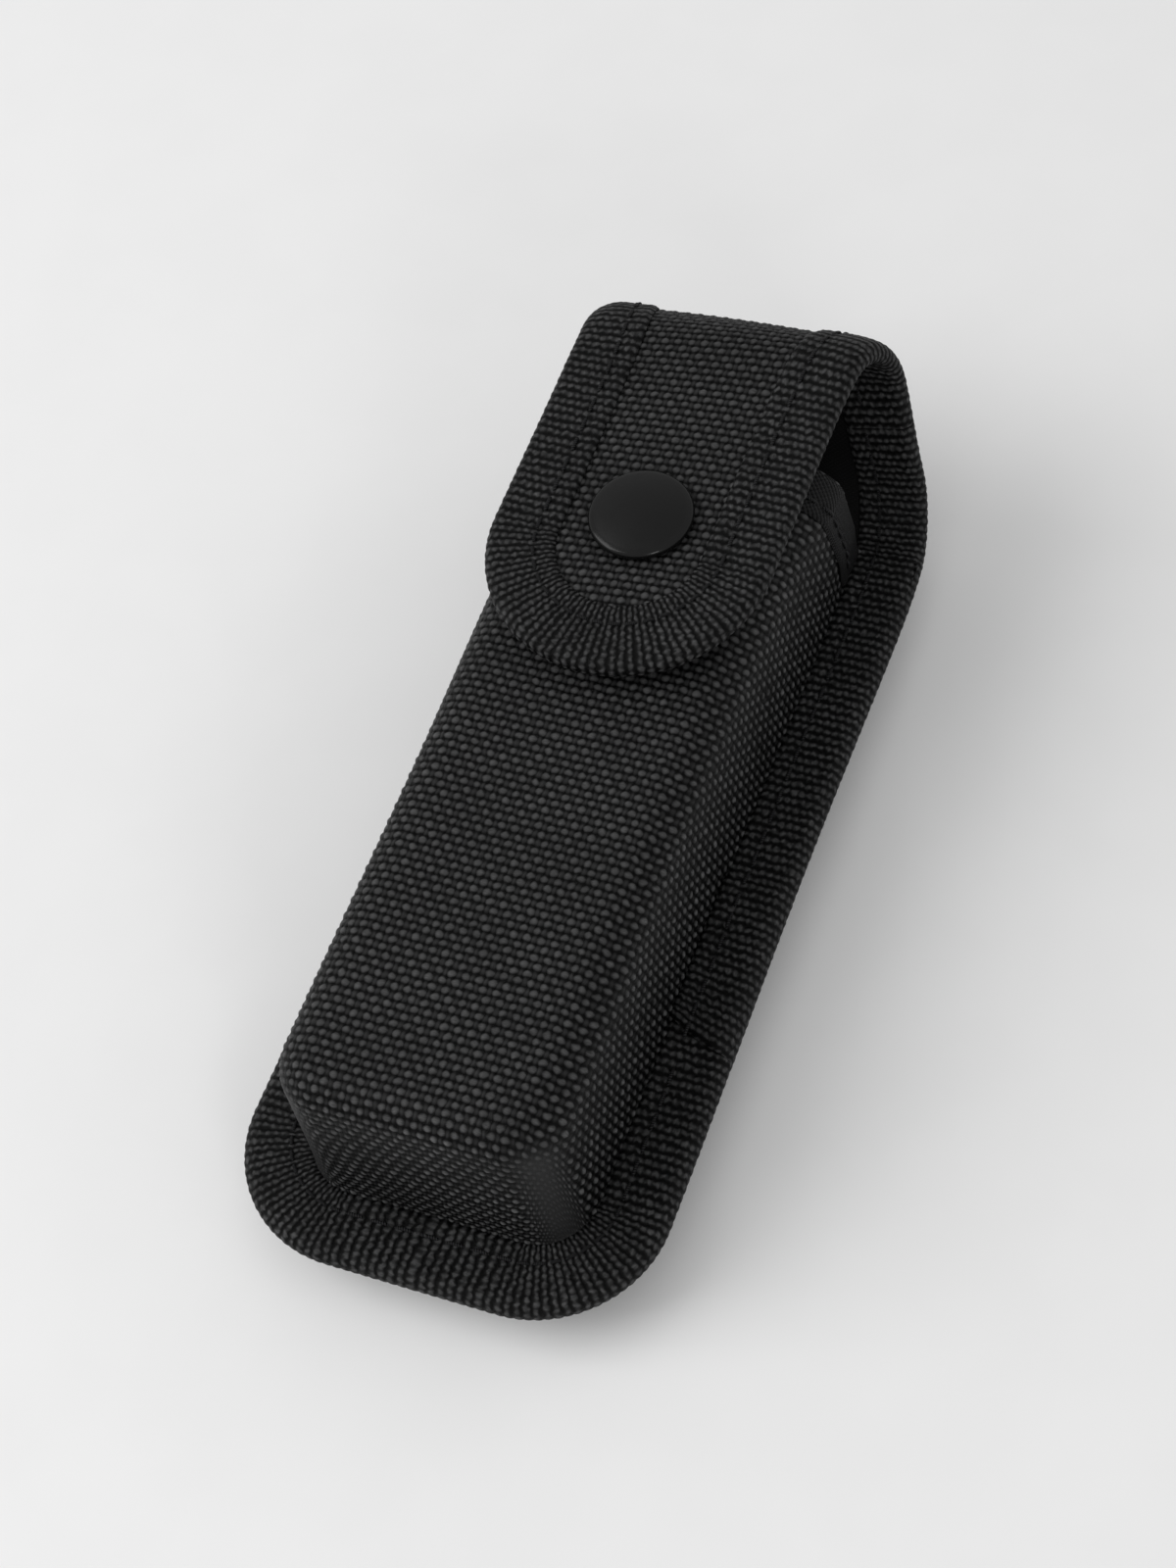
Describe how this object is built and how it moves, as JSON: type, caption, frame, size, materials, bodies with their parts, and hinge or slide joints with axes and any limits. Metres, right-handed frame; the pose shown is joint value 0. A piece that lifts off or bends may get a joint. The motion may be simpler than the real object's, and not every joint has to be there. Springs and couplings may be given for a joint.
{
  "type": "multi tool belt sheath",
  "caption": "Black nylon belt sheath for a folding multi tool: moulded shell pocket, wrap-over flap with snap, belt loop behind.",
  "frame": {"origin": "middle of the underside of the box round the closed sheath, lying on its back on the belt loop", "axes": "+X to the sheath's right seen from the front, +Y along the pocket from the closed end to the crown, +Z out of the front face"},
  "size_m": [0.0626, 0.1474, 0.0468],
  "materials": {
    "ballistic_nylon": "coarse basket weave, black, satin yarn",
    "foam": "closed-cell foam",
    "lining_cloth": "fine plain weave, black",
    "mouth_tape": "fine twill tape, black",
    "edge_tape": "ribbed grosgrain tape, black",
    "thread": "bonded nylon thread, black",
    "webbing": "flat nylon webbing, black",
    "snap_paint": "satin black enamel on pressed brass",
    "snap_metal": "black oxide on pressed brass"
  },
  "bodies": {
    "pouch": {"back_outer": "ballistic_nylon", "back_foam": "foam", "back_lining": "lining_cloth", "shell_outer": "ballistic_nylon", "shell_foam": "foam", "shell_lining": "lining_cloth", "body_binding": "edge_tape", "body_stitching": "thread", "upper_binding_right": "edge_tape", "upper_binding_left": "edge_tape", "upper_stitching": "thread", "mouth_binding": "mouth_tape", "mouth_stitching": "thread", "belt_loop": "webbing", "belt_loop_stitching": "thread", "snap_stud": "snap_metal", "snap_rivet": "snap_metal"},
    "crown": {"crown_outer": "ballistic_nylon", "crown_foam": "foam", "crown_lining": "lining_cloth", "crown_binding_right": "edge_tape", "crown_binding_left": "edge_tape", "crown_stitching": "thread"},
    "flap": {"flap_outer": "ballistic_nylon", "flap_foam": "foam", "flap_lining": "lining_cloth", "flap_binding": "edge_tape", "flap_stitching": "thread", "snap_cap": "snap_paint", "snap_socket": "snap_metal", "snap_spring": "snap_metal"}
  },
  "joints": [
    {"name": "flap_open", "type": "hinge", "parent": "crown", "child": "flap", "pos_m": [0, 0.07102, 0.04065], "axis": [-1, 0, 0], "range_deg": [0, 100], "deforming": ["snap_spring"]},
    {"name": "back_fold", "type": "hinge", "parent": "pouch", "child": "crown", "pos_m": [0, 0.06505, 0.00984], "axis": [-1, 0, 0], "range_deg": [0, 66]}
  ],
  "couplings": [
    {"joint": "back_fold", "follows": "flap_open", "ratio": 0.65}
  ]
}
